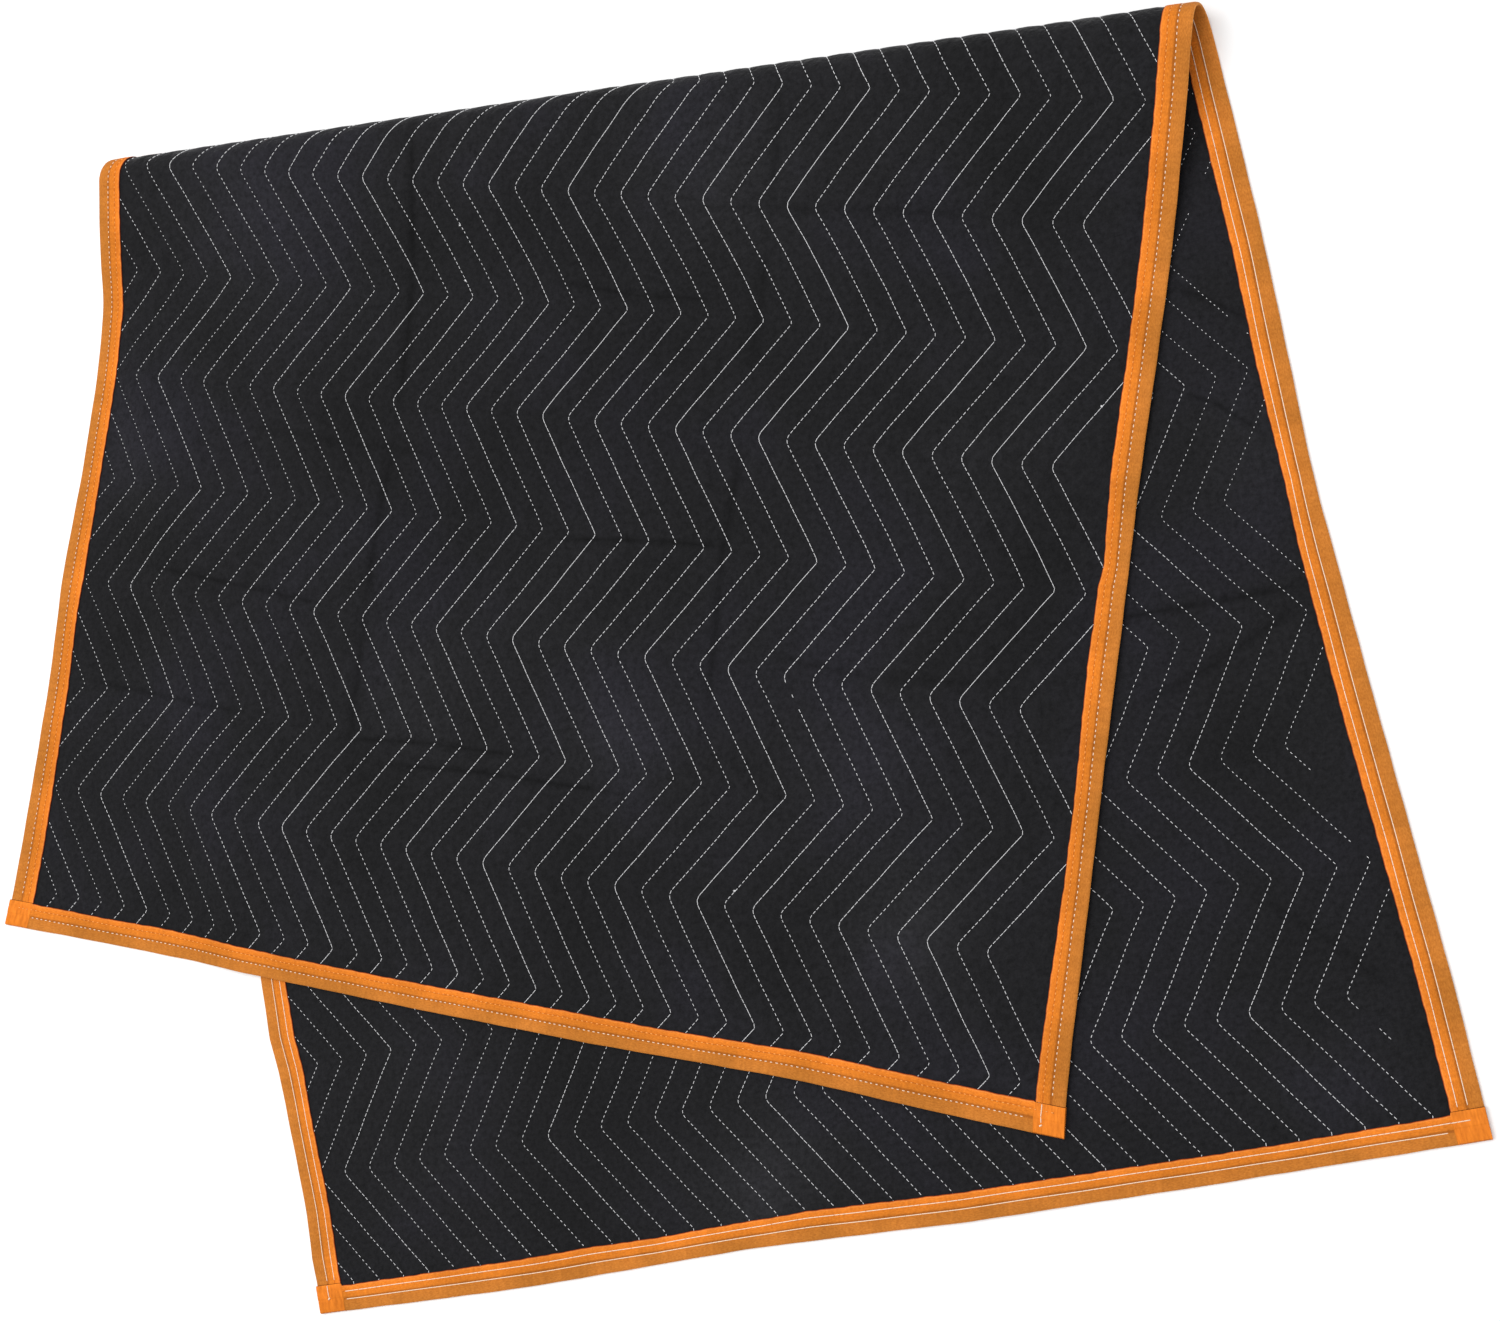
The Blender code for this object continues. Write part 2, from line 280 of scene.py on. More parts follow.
#   row of bends, and the creep at the left, in the middle and at the right, in mm
CREEP = np.array([
    (-0.5, -1, 1, 3), (1.5, 1, 1, 0), (3.5, 0, 0, -4), (5.5, 0, 0, -6), (7.0, 0, 0, -4),
    (8.5, 0, -1, -1), (9.5, 3, -2, -3), (10.5, 5, 0, -1), (11.5, 4, 1, -2), (12.5, 4, 0, 1),
    (13.5, -2, 1, -1), (14.5, 3, 1, 2), (15.5, -3, -1, 1), (16.5, 1, 1, 1),
]).T
CREEP_PLACES = (0.10, 0.50, 0.88)


def creep(x, y):
    left, middle, right = (
        read_softly(FIRST_BEND + CREEP[0] * BEND_SPACING, column, y) for column in CREEP[1:]
    )
    near, centre, far = CREEP_PLACES
    share = np.clip((x - near) / (centre - near), 0, 1)
    beyond = np.clip((x - centre) / (far - centre), 0, 1)
    return left + (middle - left) * share + (right - middle) * beyond


def line_place(number, y):
    """The plan's x of a stitched line. A number between two lines is a place in the puff."""
    sewn = FIRST_LINE + number * LINE_SPACING + swing(y)
    sewn = sewn + creep(sewn, y)
    x = sewn
    for _ in range(5):
        x = sewn - drawn_in(x, y)[0]
    return x


def line_number(x, y):
    """The reverse: which line a plan point is at, with the share past it."""
    sewn = x + drawn_in(x, y)[0]
    sewn = sewn - creep(sewn, y)
    return (sewn - FIRST_LINE - swing(y)) / LINE_SPACING


print("The zigzag swings", ZIGZAG_SWING, "m, in bends", BEND_SPACING, "m apart")

# %% [markdown]
# ## Puffs, seams and creases
#
# Between two lines the padding stands up in a low puff, and each line pulls the cloth down
# into a seam. Under the tape the cloth is pressed flat, and over the fold the puffs are
# stretched flatter. The pad was stored folded in three across and in eight along, and
# those folds left soft creases. A crease here is a trough in the one face that shows it,
# along a path of a few points. Its depth fades towards both its ends.

# %% The thickness of the cloth
PINCH_INSET = TAPE_WIDTH + 0.0015
PINCH_RAMP = 0.007
PUFF_FULLNESS = 0.6
PUFF_WANDER = 0.07
STRETCHED_FLAT, LESS_AT_RIGHT = 0.5, 0.6
STRETCH_REACH = 0.045
TROUGH_SHARPNESS = 1.8
ENDS_FADE = 5
FADE_WANDER = 0.25
# The crease depth at which the painted shade in its trough is full.
FULL_SHADE_DEPTH = 0.0011
DEEPEST_PRESS = -0.0001
#   half width, depth, and path of (across, along), in mm
CREASES = {
    FACE_A: (
        (4.5, 1.1, ((326, 1030), (329, 1150), (334, 1240), (336, 1330))),
        (5.5, 0.8, ((336, 1310), (329, 1440), (330, 1540), (333, 1650))),
        (5.5, 0.7, ((668, 990), (663, 1140), (664, 1270))),
        (4.5, 0.9, ((666, 1290), (662, 1400), (668, 1550))),
        (5, 0.6, ((570, 1111), (690, 1106), (860, 1100))),
        (3.5, 0.8, ((462, 1181), (552, 1190), (640, 1187))),
        (4.5, 0.5, ((180, 1334), (270, 1342), (400, 1345))),
        (3, 1, ((500, 1407), (590, 1398), (676, 1395))),
        (3, 0.9, ((82, 1474), (184, 1482), (300, 1490))),
        (3.5, 0.8, ((36, 1590), (136, 1594), (235, 1598))),
        (3, 1.1, ((312, 1607), (400, 1599), (515, 1596))),
        (3, 1.1, ((356, 1624), (464, 1616), (615, 1615))),
        (4, 0.6, ((700, 1480), (800, 1488), (930, 1478))),
    ),
    FACE_B: (
        (3.5, 0.9, ((800, 446), (908, 440), (996, 437))),
        (4, 0.8, ((820, 372), (900, 394), (994, 428))),
        (3, 0.9, ((918, 610), (950, 592), (992, 554))),
        (3, 0.8, ((930, 694), (962, 676), (998, 646))),
        (4, 0.6, ((420, 205), (560, 212), (700, 203))),
        (4, 0.6, ((880, 215), (930, 170), (975, 118))),
    ),
}


def puff(x, y):
    """0 on a stitched line, 1 on top of a puff."""
    number = line_number(x, y)
    nearest = np.clip(np.round(number), 0, LINE_COUNT - 1)
    from_line = np.minimum(np.abs(number - nearest), 0.5)
    return np.sin(np.pi * from_line) ** PUFF_FULLNESS


def along_path(x, y, path):
    """How far points lie aside from a path, and which share of it they have passed."""
    stretches = list(zip(path[:-1], path[1:]))
    lengths = [np.hypot(x1 - x0, y1 - y0) for (x0, y0), (x1, y1) in stretches]
    nearest, passed, gone = np.inf, 0, 0
    for ((x0, y0), (x1, y1)), length in zip(stretches, lengths):
        step = ((x - x0) * (x1 - x0) + (y - y0) * (y1 - y0)) / length**2
        step = np.clip(step, 0, 1)
        aside = np.hypot(x - x0 - step * (x1 - x0), y - y0 - step * (y1 - y0))
        passed = np.where(aside < nearest, gone + step * length, passed)
        nearest = np.minimum(aside, nearest)
        gone += length
    return nearest, passed / gone


def creases(face):
    """Half width, depth and path of each crease in a face, in metres."""
    for half_width, deep, path in CREASES[face]:
        yield MM * half_width, MM * deep, (MM * np.array(path)).tolist()


def creasing(face, x, y):
    """How deep the creases press this face, and how dark their painted shade is, 0 to 1."""
    depth, wear_and_shade = 0, 0
    for half_width, deep, path in creases(face):
        aside, share = along_path(x, y, path)
        fade = eased(share * ENDS_FADE) * eased((1 - share) * ENDS_FADE)
        fade = fade * (1 - FADE_WANDER + FADE_WANDER * ripple(share, 0.3))
        trough = np.clip(1 - aside / (2 * half_width), 0, 1) ** TROUGH_SHARPNESS * fade
        depth = depth + deep * trough
        # Painted shade in the trough, full at the crease depth set above.
        wear_and_shade = np.maximum(wear_and_shade, trough * deep / FULL_SHADE_DEPTH)
    return depth, wear_and_shade


def half_thickness(face, x, y):
    inside = np.minimum(np.minimum(x, PAD_WIDTH - x), np.minimum(y, PAD_LENGTH - y))
    wander = 1 - PUFF_WANDER + PUFF_WANDER * ripple(x + 0.7 * y, 0.06)
    full = (HALF_PUFF - HALF_SEAM) * puff(x, y) * wander
    full = full * eased((inside - PINCH_INSET) / PINCH_RAMP)
    t, past = across_fold(x, y)
    stretched_flat = STRETCHED_FLAT * (1 - LESS_AT_RIGHT * t / FOLD_LENGTH)
    full = full * (1 - stretched_flat * np.exp(-((past / STRETCH_REACH) ** 2)))
    return HALF_SEAM + np.maximum(full - creasing(face, x, y)[0], DEEPEST_PRESS)


print("The cloth is", 2 * HALF_SEAM, "to", 2 * HALF_PUFF, "m thick")

# %% [markdown]
# ## A mesh that follows the stitches
#
# The cloth's grid leans with the zigzag, so that each stitched line is an edge of the
# mesh and stays sharp at any size. A plain square grid would need many times the faces.
# Rows lie closer at the bends and over the fold, where the cloth turns.

# %% Columns and rows of the cloth
CLOTH_INSET = 0.0015
COLUMN_PLACES = (0.0, 0.16, 0.5, 0.84)
SIDE_COLUMNS = (-2.6, -2.2, -1.84, -1.5, -1.16, -1.0, -0.84, -0.5, -0.16)
LAST_COLUMNS = (0.16, 0.5, 0.9, 1.4, 1.9, 2.4, 2.9, 3.4, 3.9)
ROWS_PER_BEND = 8
ROWS_AT_BEND = (-0.0050, -0.0018, 0, 0.0018, 0.0050)
ROW_LEAST_GAP = 0.0012
ROLL_ROWS = np.arange(0.872, 1.146, 0.0052)


def cloth_columns():
    sewn = [line + place for line in range(LINE_COUNT - 1) for place in COLUMN_PLACES]
    last = LINE_COUNT - 1
    return np.array([*SIDE_COLUMNS, *sewn, last, *(last + extra for extra in LAST_COLUMNS)])


def cloth_rows():
    end = CLOTH_INSET
    pinched = [end, 0.014, PINCH_INSET, PINCH_INSET + PINCH_RAMP / 2, PINCH_INSET + PINCH_RAMP]
    rows = pinched + [PAD_LENGTH - y for y in pinched]
    bends = FIRST_BEND + np.arange(-1, 18) * BEND_SPACING
    for bend in bends:
        rows += [bend + step for step in ROWS_AT_BEND]
        rows += list(bend + np.linspace(0, BEND_SPACING, ROWS_PER_BEND + 1)[1:-1])
    rows = [y for y in rows if not ROLL_ROWS[0] < y < ROLL_ROWS[-1]]
    rows = np.unique(np.round([*rows, *ROLL_ROWS], 4))
    rows = rows[(rows >= end) & (rows <= PAD_LENGTH - end)]
    return rows[np.diff(rows, prepend=-1) > ROW_LEAST_GAP]


columns, rows = cloth_columns(), cloth_rows()
print(len(columns), "columns by", len(rows), "rows")

# %% [markdown]
# ## Cutting the cloth to its outline
#
# The grid reaches past both long edges, so it is cut off there with `bisect_plane`, as
# shears would. The same tool cuts edges along the tapes and along the middle and the sides
# of each crease, without taking anything away, so that the cloth has an edge to bend at.

# %% The flat cloth
MERGE = 0.0002
CREASE_MARGIN = 0.006


def flat_cloth():
    wide, long = len(columns), len(rows)
    y = np.repeat(rows, wide)
    x = line_place(np.tile(columns, long), y)
    corner = (np.arange(long - 1)[:, None] * wide + np.arange(wide - 1)).ravel()
    quads = np.column_stack([corner, corner + 1, corner + wide + 1, corner + wide])
    mesh = bpy.data.meshes.new("flat_cloth")
    mesh.from_pydata(np.column_stack([x, y, 0 * x]).tolist(), [], quads.tolist())
    bm = bmesh.new()
    bm.from_mesh(mesh)
    bpy.data.meshes.remove(mesh)
    for inset in (CLOTH_INSET, PINCH_INSET, PINCH_INSET + PINCH_RAMP):
        for place, inwards in ((inset, -1), (PAD_WIDTH - inset, 1)):
            bmesh.ops.bisect_plane(
                bm,
                geom=[*bm.verts, *bm.edges, *bm.faces],
                dist=MERGE,
                plane_co=(place, 0, 0),
                plane_no=(inwards, 0, 0),
                clear_outer=inset == CLOTH_INSET,
            )
    return bm


def cut_creases(bm):
    """Edges along the middle and the sides of each crease."""
    for half_width, _, path in (*creases(FACE_A), *creases(FACE_B)):
        for (x0, y0), (x1, y1) in zip(path[:-1], path[1:]):
            length = np.hypot(x1 - x0, y1 - y0)
            normal = np.array([y1 - y0, x0 - x1]) / length
            reach = 2 * half_width + CREASE_MARGIN
            near = []
            for face in bm.faces:
                x, y, _ = face.verts[0].co
                if min(x0, x1) - reach < x < max(x0, x1) + reach:
                    if min(y0, y1) - reach < y < max(y0, y1) + reach:
                        near.append(face)
            for aside in (-2, -1, 0, 1, 2):
                edges = dict.fromkeys(edge for face in near for edge in face.edges)
                verts = dict.fromkeys(vert for face in near for vert in face.verts)
                made = bmesh.ops.bisect_plane(
                    bm,
                    geom=[*near, *edges, *verts],
                    dist=MERGE,
                    plane_co=(*((x0, y0) + aside * half_width * normal), 0),
                    plane_no=(*normal, 0),
                )
                near = [item for item in made["geom"] if isinstance(item, bmesh.types.BMFace)]


flat = flat_cloth()
cut_creases(flat)
print("The flat cloth has", len(flat.faces), "faces")

# %% [markdown]
# ## Two faces and a fold
#
# Extruding the flat cloth gives it its second face and the narrow walls between them, so
# it is one closed body. Only then is each point given its height and laid in the fold.
# Each point also keeps a tone, which the finish reads: use has rubbed the cloth paler in
# some patches, a few patches are darker, a painted highlight lies along the top of the
# roll, and painted shade darkens the creases.

# %% Build the quilted panel
#   across, along and radius in mm, and how much paler
RUBBED_AND_RIM_HIGHLIGHT = {
    FACE_A: (
        (164, 1150, 80, 0.3), (628, 1100, 70, 0.4), (868, 1688, 50, 0.75),
        (592, 1564, 45, 0.45), (404, 1552, 60, 0.4), (872, 1292, 60, 0.25),
        (504, 1476, 55, 0.25), (804, 1556, 60, 0.3), (48, 1372, 50, 0.25),
        # The five spots from (120, 1072) to (940, 925) lie along the top of the roll: a painted
        # highlight.
        (120, 1072, 100, 0.22), (330, 1034, 100, 0.22), (540, 996, 100, 0.22),
        (750, 959, 100, 0.22), (940, 925, 90, 0.22), (400, 1400, 110, -0.18),
        (560, 1250, 90, -0.15), (940, 1420, 70, -0.15),
    ),
    FACE_B: (
        (440, 48, 60, 0.9), (980, 352, 60, 0.3), (968, 552, 50, 0.3), (120, 150, 80, 0.25),
        (900, 60, 70, 0.2),
    ),
}
CREASE_SHADE = 0.75


def show(name, data):
    """An object in the scene, with this mesh, lamp or camera."""
    obj = bpy.data.objects.new(name, data)
    bpy.context.scene.collection.objects.link(obj)
    return obj


def spots(table, x, y):
    """The sum of soft round spots, each as across, along, radius in mm, and strength."""
    total = 0
    for across, along, radius, strength in table:
        apart = (x - MM * across) ** 2 + (y - MM * along) ** 2
        total = total + strength * np.exp(-apart / (MM * radius) ** 2)
    return total


def cloth_tone(face, x, y):
    """How pale the cloth is, 1 where it is plain."""
    # Painted shade darkens the creases, and a painted highlight lightens the top of the roll.
    return 1 - CREASE_SHADE * creasing(face, x, y)[1] + spots(RUBBED_AND_RIM_HIGHLIGHT[face], x, y)


def quilted_panel(bm):
    made = bmesh.ops.extrude_face_region(bm, geom=bm.faces[:], use_keep_orig=True)
    for vert in bm.verts:
        vert.co.z = FACE_B
    for item in made["geom"]:
        if isinstance(item, bmesh.types.BMVert):
            item.co.z = FACE_A
    bmesh.ops.triangulate(bm, faces=bm.faces)
    bmesh.ops.recalc_face_normals(bm, faces=bm.faces)
    mesh = bpy.data.meshes.new("quilted_cloth")
    bm.to_mesh(mesh)
    bm.free()
    place = np.zeros(len(mesh.vertices) * 3)
    mesh.vertices.foreach_get("co", place)
    x, y, face = place.reshape(-1, 3).T
    half, tone = (
        np.where(face == FACE_B, of_face(FACE_B, x, y), of_face(FACE_A, x, y))
        for of_face in (half_thickness, cloth_tone)
    )
    mesh.vertices.foreach_set("co", lay(x, y, face * half).ravel())
    mesh.attributes.new("tone", "FLOAT", "POINT").data.foreach_set("value", tone)
    mesh.shade_smooth()
    return show("quilted_cloth", mesh)


cloth = quilted_panel(flat)
print("The quilted cloth has", len(cloth.data.polygons), "triangles")

# %% [markdown]
# ## The binding tape
#
# The tape is folded over the edge. Its inner half is turned under and so is double, which
# makes it a hair thicker and a brighter orange. The outer half is a single layer with the
# black cloth behind it, and looks browner. Two rows of stitches hold it and press it down.
# The section below is half of the U, from the inner edge to the edge of the pad, as the
# share of the tape's width and the height off the middle of the cloth, in mm.

# %% The tape's section
TAPE_FORM = np.array([
    (1.000, 1.30), (1.000, 1.95), (0.985, 2.12), (0.940, 2.18), (0.810, 2.18), (0.765, 1.90),
    (0.720, 2.18), (0.540, 2.17), (0.518, 2.08), (0.500, 1.78), (0.460, 1.68), (0.410, 1.92),
    (0.250, 1.94), (0.110, 1.80), (0.050, 1.45), (0.014, 0.85),
]) * (1, MM)
TAPE_INSIDE = ((0.060, 0.00115), (0.036, 0.00060))
INNER_ROW, OUTER_ROW = 0.765, 0.460


def tape_section():
    """The whole U, as rows of share of the width, height, and 1 on its outside."""
    face_b = [(share, height, 1) for share, height in TAPE_FORM]
    face_a = [(share, -height, 1) for share, height in TAPE_FORM[::-1]]
    lining_a = [(share, -height, 0) for share, height in TAPE_INSIDE]
    lining_b = [(share, height, 0) for share, height in TAPE_INSIDE[::-1]]
    return np.array([*face_b, (0, 0, 1), *face_a, *lining_a, *lining_b])


print("The tape's section has", len(tape_section()), "points")

# %% [markdown]
# ## Tapes that a hand has sewn
#
# A tape is its section, repeated every few millimetres along an edge of the pad. The
# tape's width wanders as the hand that fed it let go and took hold again, and in a few
# places it jumps or bulges. At both ends of the two short tapes the tape is turned in and
# covers the corner, as a square patch that stands a little proud. The long tapes' rows of
# stitches lie under the patch and raise two ridges in it.

# %% One tape
TAPE_STATION = 0.0035
EDGE_BITE = 0.0005
EDGE_WAVER = 0.0004
PATCH_DOUBLING = 0.0006
PATCH_STEP = 0.0008
PATCH_SHARES = (0.810, 0.925)
PATCH_LEAST = 0.0018
RIDGE_HEIGHT, RIDGE_WIDTH = 0.00018, 0.0008
SHARP_ANGLE = np.radians(50)


def tape_faces(stations, around):
    """Quads round the section, from each station to the next."""
    here = np.arange(around)
    ahead = (here + 1) % around
    first = np.arange(stations - 1)[:, None] * around
    sides = np.stack(
        [first + here, first + ahead, first + around + ahead, first + around + here], axis=-1
    )
    return sides.reshape(-1, 4)


def patch_stations():
    """Closer stations at the corners of an end tape, for its patches and their ridges."""
    ridges = [share * TAPE_WIDTH for share in (INNER_ROW, OUTER_ROW)]
    near = [ridge + step * RIDGE_WIDTH for ridge in ridges for step in (-2, -1, 0, 1, 2)]
    near += [TAPE_WIDTH, TAPE_WIDTH + PATCH_STEP]
    return near + [PAD_WIDTH - place for place in near]


def sew_tape(name, place, begin, end, widths, patches=None):
    """A tape from begin to end along an edge. place() turns a distance along the edge and
    a distance in from it into a plan point. patches is the face that the corners show."""
    section = tape_section()
    along = np.linspace(begin, end, int((end - begin) / TAPE_STATION))
    if patches is not None:
        along = np.unique(np.concatenate([along, patch_stations()]))
        along = along[np.diff(along, prepend=-1) > MERGE]
    share, height, outer = (row[None, :] for row in section.T)
    station = along[:, None]
    wide = MM * np.interp(station, *zip(*widths)) + EDGE_WAVER * ripple(station, 0.021, begin)
    if patches is None:
        patch = 0 * station
    else:
        from_end = np.minimum(station, PAD_WIDTH - station)
        patch = np.clip((TAPE_WIDTH + PATCH_STEP - from_end) / PATCH_STEP, 0, 1)
        wide = wide + (TAPE_WIDTH - wide) * patch
        lift = (np.sign(height) == patches) & (outer > 0) & (share > 0.03)
        flat_top = np.maximum(np.abs(height), PATCH_LEAST)
        doubled = patch * (flat_top + PATCH_DOUBLING - np.abs(height))
        for row in (INNER_ROW, OUTER_ROW):
            aside = (from_end - row * TAPE_WIDTH) / RIDGE_WIDTH
            doubled = doubled + RIDGE_HEIGHT * np.exp(-(aside**2)) * eased(share * 6)
        height = height + patches * lift * doubled
    inwards = share * np.where(outer > 0, wide, TAPE_WIDTH)
    inwards = inwards + EDGE_BITE * (1 - share) * (1 + ripple(station, 0.07, 2.0)) / 2
    along_all = station + 0 * inwards
    x, y = place(along_all.ravel(), inwards.ravel())
    points = lay(x, y, np.broadcast_to(height, inwards.shape).ravel())

    bm = bmesh.new()
    verts = [bm.verts.new(point) for point in points]
    uv = bm.loops.layers.uv.new("tape")
    low, high = PATCH_SHARES
    seen_share = np.where(patch > 0.5, low + (high - low) * share, share).ravel()
    spot = dict(zip(verts, zip(along_all.ravel(), seen_share)))
    around = len(section)
    for quad in tape_faces(len(along), around):
        bm.faces.new([verts[i] for i in quad])
    bm.faces.new(verts[:around])
    bm.faces.new(verts[-around:])
    for face in bm.faces:
        for loop in face.loops:
            loop[uv].uv = spot[loop.vert]
    bmesh.ops.triangulate(bm, faces=[face for face in bm.faces if len(face.verts) > 4])
    bmesh.ops.recalc_face_normals(bm, faces=bm.faces)
    mesh = bpy.data.meshes.new(name)
    bm.to_mesh(mesh)
    bm.free()
    mesh.shade_smooth()
    mesh.set_sharp_from_angle(angle=SHARP_ANGLE)
    return show(name, mesh)


print("Tape stations lie", TAPE_STATION, "m apart")

# %% [markdown]
# ## The four tapes
#
# The long tapes stop just short of the corners, which the short ones cover. How wide each
# tape lies is a table of places along its edge, and so is the bulge in the left one, where
# the cloth under it is puckered.

# %% Sew the four tapes
CLEAR = TAPE_WIDTH + 0.0003
#   where along the edge, and how wide in mm
LEFT_WIDTHS = (
    (0.03, 25), (0.05, 26.2), (0.09, 25), (0.17, 24.6), (0.21, 26.2), (0.25, 26.8), (0.29, 26.2),
    (1.14, 23.6), (1.24, 26.4), (1.34, 22.6), (1.39, 22.1), (1.49, 25), (1.54, 22.9), (1.64, 24),
    (1.74, 26.2),
)
RIGHT_WIDTHS = (
    (0.04, 25), (0.34, 26.2), (0.46, 25), (0.52, 22.6), (0.61, 25.2), (1.11, 25), (1.305, 23.5),
    (1.374, 20.5), (1.392, 22.8), (1.455, 23.5), (1.555, 21), (1.63, 21.3), (1.73, 23.8),
    (1.8, 24.5),
)
LOWER_WIDTHS = (
    (0.03, 22.8), (0.19, 24.5), (0.27, 24.6), (0.33, 22.6), (0.43, 23), (0.47, 24.8), (0.67, 24.1),
    (0.87, 22.2), (0.99, 22.8),
)
UPPER_WIDTHS = (
    (0.03, 24.5), (0.11, 23.1), (0.15, 24.5), (0.31, 22.4), (0.59, 24.1), (0.67, 23), (0.87, 25.4),
    (0.99, 25.6),
)
#   where along the lower layer's left edge, and how far the tape bulges out, in mm
BULGES = ((0.03, 0.05, 0.09, 0.13, 0.19, 0.22, 0.25, 0.28, 0.32), (0, 1, -1, 0, 0.5, 1, 3.5, 2, 0))


def on_left(along, inwards):
    return inwards - MM * np.interp(along, *BULGES), along


def on_right(along, inwards):
    return PAD_WIDTH - inwards, along


def on_lower(along, inwards):
    return along, inwards


def on_upper(along, inwards):
    return along, PAD_LENGTH - inwards


left_tape = sew_tape("left_tape", on_left, CLEAR, PAD_LENGTH - CLEAR, LEFT_WIDTHS)
right_tape = sew_tape("right_tape", on_right, CLEAR, PAD_LENGTH - CLEAR, RIGHT_WIDTHS)
lower_tape = sew_tape("lower_tape", on_lower, 0.0, PAD_WIDTH, LOWER_WIDTHS, FACE_B)
upper_tape = sew_tape("upper_tape", on_upper, 0.0, PAD_WIDTH, UPPER_WIDTHS, FACE_A)
tapes = (left_tape, right_tape, lower_tape, upper_tape)
for tape in tapes:
    print(tape.name, len(tape.data.polygons), "faces")

# %% [markdown]
# ## Stitches
#
# A line of thread could be a texture, but then it would be flat and blur close up. A
# curve for each line would be a smooth wire. Here each stitch is its own small body, a
# spindle with a ridge along its top, laid on the seam. A spindle has only eight points, so
# forty thousand of them stay light, and NumPy places them all at once. Tight thread lies
# in long stitches with hardly a gap, and slack thread in short dashes.

# %% From a path to stitches
PITCH = 0.0046
START_JITTER, FILL_JITTER = 0.05, 0.07
LEAST_FILL, MOST_FILL = 0.35, 1.6
#   a tip, three points at each of two rings, and a tip
SPINDLE = np.array([
    (0, 1, 2), (0, 2, 3), (0, 3, 1),
    (1, 4, 5), (1, 5, 2), (2, 5, 6), (2, 6, 3), (3, 6, 4), (3, 4, 1),
    (7, 5, 4), (7, 6, 5), (7, 4, 6),
])
SPINDLE_RISE = np.array([-0.5, 0, 1, 0, 0, 1, 0, -0.5])


def stitch_path(x, y, tightness, leaning=0.0, gaps=()):
    """Stitches along a plan path, as four points on each. tightness is how much of the
    pitch the thread fills, as one number or one for each point of the path, and leaning
    adds to it where the path runs to the right."""
    walked = np.concatenate([[0], np.cumsum(np.hypot(np.diff(x), np.diff(y)))])
    start = np.arange(PITCH / 4, walked[-1] - PITCH, PITCH)
    start = start + rng.uniform(-START_JITTER, START_JITTER, len(start)) * PITCH
    slant = np.sign(np.interp(start, walked, np.gradient(x, walked)))
    tight = np.interp(start, walked, np.broadcast_to(tightness, x.shape))
    fill = tight + leaning * slant + rng.uniform(-FILL_JITTER, FILL_JITTER, len(start))
    long = PITCH * np.clip(fill, LEAST_FILL, MOST_FILL)
    middle = np.interp(start, walked, y)
    skipped = np.zeros(len(start), bool)
    for low, high in gaps:
        skipped |= (middle > low) & (middle < high)
    ends = [(start + share * long)[~skipped] for share in (0.0, 0.2, 0.8, 1.0)]
    return np.stack([np.stack([np.interp(s, walked, x), np.interp(s, walked, y)]) for s in ends])


def thread_body(name, stitches, face, base, half_width, height):
    """One mesh of stitches, each a spindle on the cloth, at its own base and height."""
    way = stitches[3] - stitches[0]
    side = np.stack([-way[1], way[0]]) / np.maximum(np.hypot(*way), 1e-9) * half_width
    tip, one, two, end = stitches
    plan = [tip, one + side, one, one - side, two + side, two, two - side, end]
    count = stitches.shape[2]
    x, y = np.stack(plan).transpose(1, 2, 0).reshape(2, -1)
    base, height = (np.broadcast_to(value, count)[:, None] for value in (base, height))
    h = base + SPINDLE_RISE * height
    points = lay(x, y, face * h.ravel())
    spindle = SPINDLE[:, ::-1] if face == FACE_B else SPINDLE
    faces = (np.arange(count)[:, None, None] * len(plan) + spindle).reshape(-1, 3)
    mesh = bpy.data.meshes.new(name)
    mesh.from_pydata(points.tolist(), [], faces.tolist())
    mesh.shade_smooth()
    return show(name, mesh)


rng = np.random.default_rng(39)
print("A stitch every", PITCH, "m")

# %% [markdown]
# ## The quilting thread
#
# How tight the thread lies differs from needle to needle, and it drifts over the pad: it
# is slack towards the left edge and at the right of the lower layer, and tight between
# them. A few stitches were skipped, and a few threads end in a knot. Each of these is a
# short table, so that one line can be changed and the others stay.

# %% Sew the zigzag lines
TIGHTNESS_A = (0.84, 1.08, 0.76, 0.94, 1.25, 0.82, 1.00, 0.78)
TIGHTNESS_B = (0.76, 0.70, 0.78, 1.00, 0.70, 0.74, 0.66, 0.74)
LEANING_A = -0.10
TIGHTNESS_WANDER = 0.08
#   across, along and radius in mm: where the thread is slack, and by how much
SLACK = {
    FACE_A: (
        (0, 1300, 300, 0.38), (0, 1700, 300, 0.32), (780, 1550, 140, 0.08),
        (820, 1250, 220, -0.1),
    ),
    FACE_B: ((980, 600, 320, 0.32), (950, 820, 140, 0.16), (150, 200, 220, 0.16)),
}
UNDER_TAPE = 0.008
LINE_WOBBLE = 0.0003
PATH_STEP = 0.0012
SHORTEST_RUN = 8
QUILT_HALF_WIDTH, QUILT_HEIGHT = 0.00034, 0.00045
#   face, line, from and to along the pad: stitches that were skipped
SKIPPED = (
    (FACE_A, 30, 1.5, 1.507), (FACE_A, 30, 1.514, 1.519), (FACE_B, 38, 0.094, 0.11),
    (FACE_B, 38, 0.0, 0.084), (FACE_B, 38, 0.236, 0.296), (FACE_B, 37, 0.222, 0.236),
    (FACE_B, 38, 0.64, 0.656), (FACE_B, 38, 0.748, 0.772),
)
#   across and along in mm: where a thread was knotted off, on face A
KNOTS = ((376, 1140), (384, 1188), (976, 1248), (624, 1692), (712, 1680), (264, 1608))
KNOT_REACH = 0.0016


